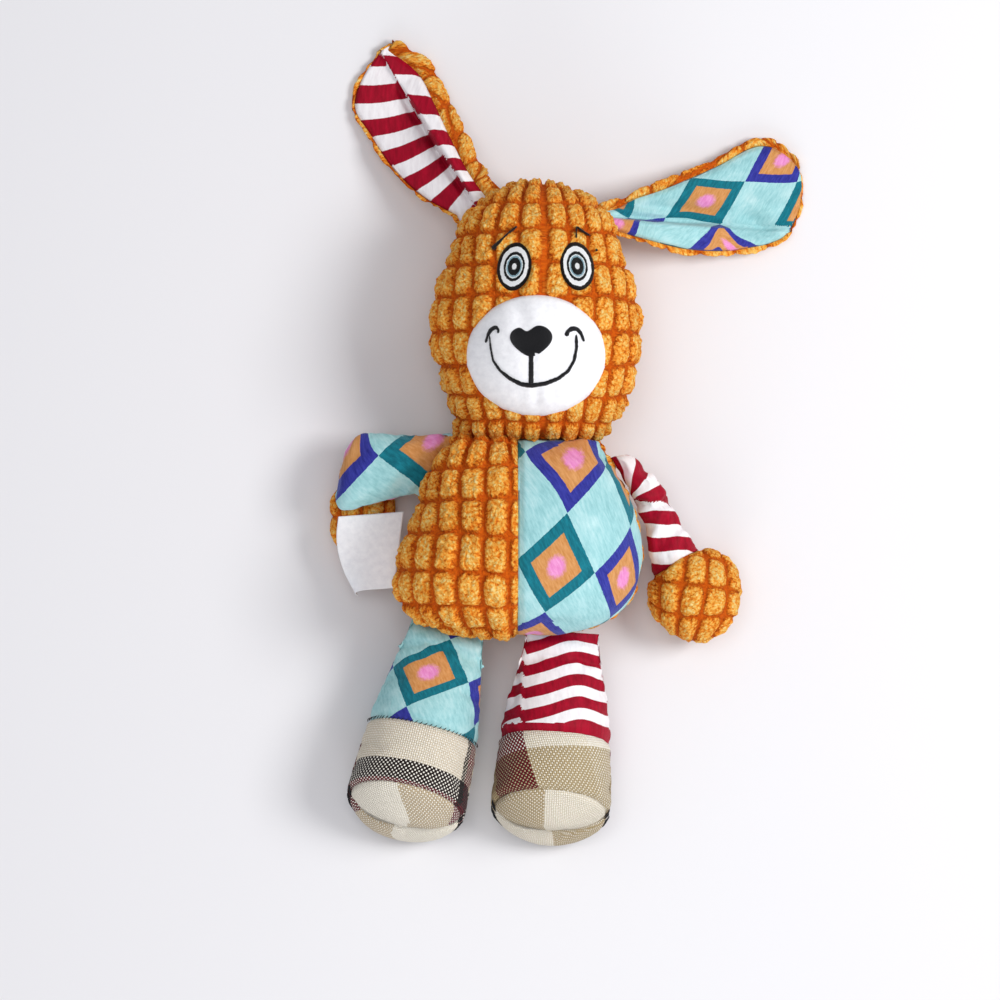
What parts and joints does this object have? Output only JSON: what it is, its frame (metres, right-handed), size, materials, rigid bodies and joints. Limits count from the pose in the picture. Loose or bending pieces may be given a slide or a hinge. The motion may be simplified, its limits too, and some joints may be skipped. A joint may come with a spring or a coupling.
{
  "type": "plush chew toy",
  "caption": "Patchwork plush puppy lying on its back, with long flapping ears, soft swinging limbs, a nodding head and a squeaker.",
  "frame": {"origin": "middle of the flat patch that the toy's back rests on", "axes": "+X towards the toy's own left, +Y from the body towards the head, +Z out of the toy's front; it lies on its back"},
  "size_m": [0.2147, 0.3632, 0.0836],
  "materials": {
    "corduroy": "matte",
    "diamond_print": "matte",
    "stripes": "matte",
    "plaid_canvas": "matte",
    "white_velour": "matte",
    "eye_patch": "matte",
    "black_thread": "satin",
    "satin_label": "satin",
    "filling": "matte",
    "squeaker": "satin",
    "reed": "gloss"
  },
  "bodies": {
    "torso": {"front_corduroy_panel": "corduroy", "front_print_panel": "diamond_print", "back_panel": "corduroy", "body_filling": "filling", "squeaker_bulb": "squeaker", "squeaker_reed": "reed"},
    "head": {"head_front_panel": "corduroy", "head_back_panel": "corduroy", "head_filling": "filling", "muzzle_patch": "white_velour", "nose": "black_thread", "mouth_stitching": "black_thread", "right_eye_patch": "eye_patch", "left_eye_patch": "eye_patch", "right_brow_stitching": "black_thread", "left_brow_stitching": "black_thread"},
    "right_ear": {"right_ear_front_panel": "stripes", "right_ear_back_panel": "corduroy"},
    "left_ear": {"left_ear_front_panel": "diamond_print", "left_ear_back_panel": "corduroy"},
    "left_arm": {"left_arm_sleeve": "stripes", "left_hand": "corduroy", "left_arm_filling": "filling"},
    "right_arm": {"right_arm_sleeve": "diamond_print", "right_hand": "corduroy", "right_arm_filling": "filling"},
    "label": {"care_label": "satin_label"},
    "right_leg": {"right_leg_sleeve": "diamond_print", "right_foot_upper": "plaid_canvas", "right_sole": "plaid_canvas", "right_leg_filling": "filling"},
    "left_leg": {"left_leg_sleeve": "stripes", "left_foot_upper": "plaid_canvas", "left_sole": "plaid_canvas", "left_leg_filling": "filling"}
  },
  "joints": [
    {"name": "neck_nod", "type": "hinge", "parent": "torso", "child": "head", "pos_m": [0.007, 0.046, 0.0305], "axis": [-1, 0, 0], "range_deg": [-15, 15]},
    {"name": "right_ear_flap", "type": "hinge", "parent": "head", "child": "right_ear", "pos_m": [-0.01966, 0.15098, 0.0305], "axis": [0.8965, 0.4431, 0], "range_deg": [-20, 90]},
    {"name": "left_ear_flap", "type": "hinge", "parent": "head", "child": "left_ear", "pos_m": [0.04034, 0.14523, 0.0305], "axis": [0.2504, -0.9681, 0], "range_deg": [-20, 90]},
    {"name": "left_shoulder_swing", "type": "hinge", "parent": "torso", "child": "left_arm", "pos_m": [0.044, 0.02998, 0.027], "axis": [-0.8616, -0.5075, 0], "range_deg": [-25, 110]},
    {"name": "right_shoulder_flap", "type": "hinge", "parent": "torso", "child": "right_arm", "pos_m": [-0.0393, 0.03404, 0.0305], "axis": [0.5105, 0.8599, 0], "range_deg": [-5, 75]},
    {"name": "label_flap", "type": "hinge", "parent": "right_arm", "child": "label", "pos_m": [-0.06721, 0.01193, 0.02312], "axis": [0.9925, -0.1219, 0], "range_deg": [-90, 8]},
    {"name": "right_hip_swing", "type": "hinge", "parent": "torso", "child": "right_leg", "pos_m": [-0.03265, -0.04048, 0.0305], "axis": [-0.9724, 0.2334, 0], "range_deg": [-15, 75]},
    {"name": "left_hip_swing", "type": "hinge", "parent": "torso", "child": "left_leg", "pos_m": [0.01897, -0.0452, 0.0305], "axis": [-0.9977, 0.068, 0], "range_deg": [-15, 75]}
  ]
}
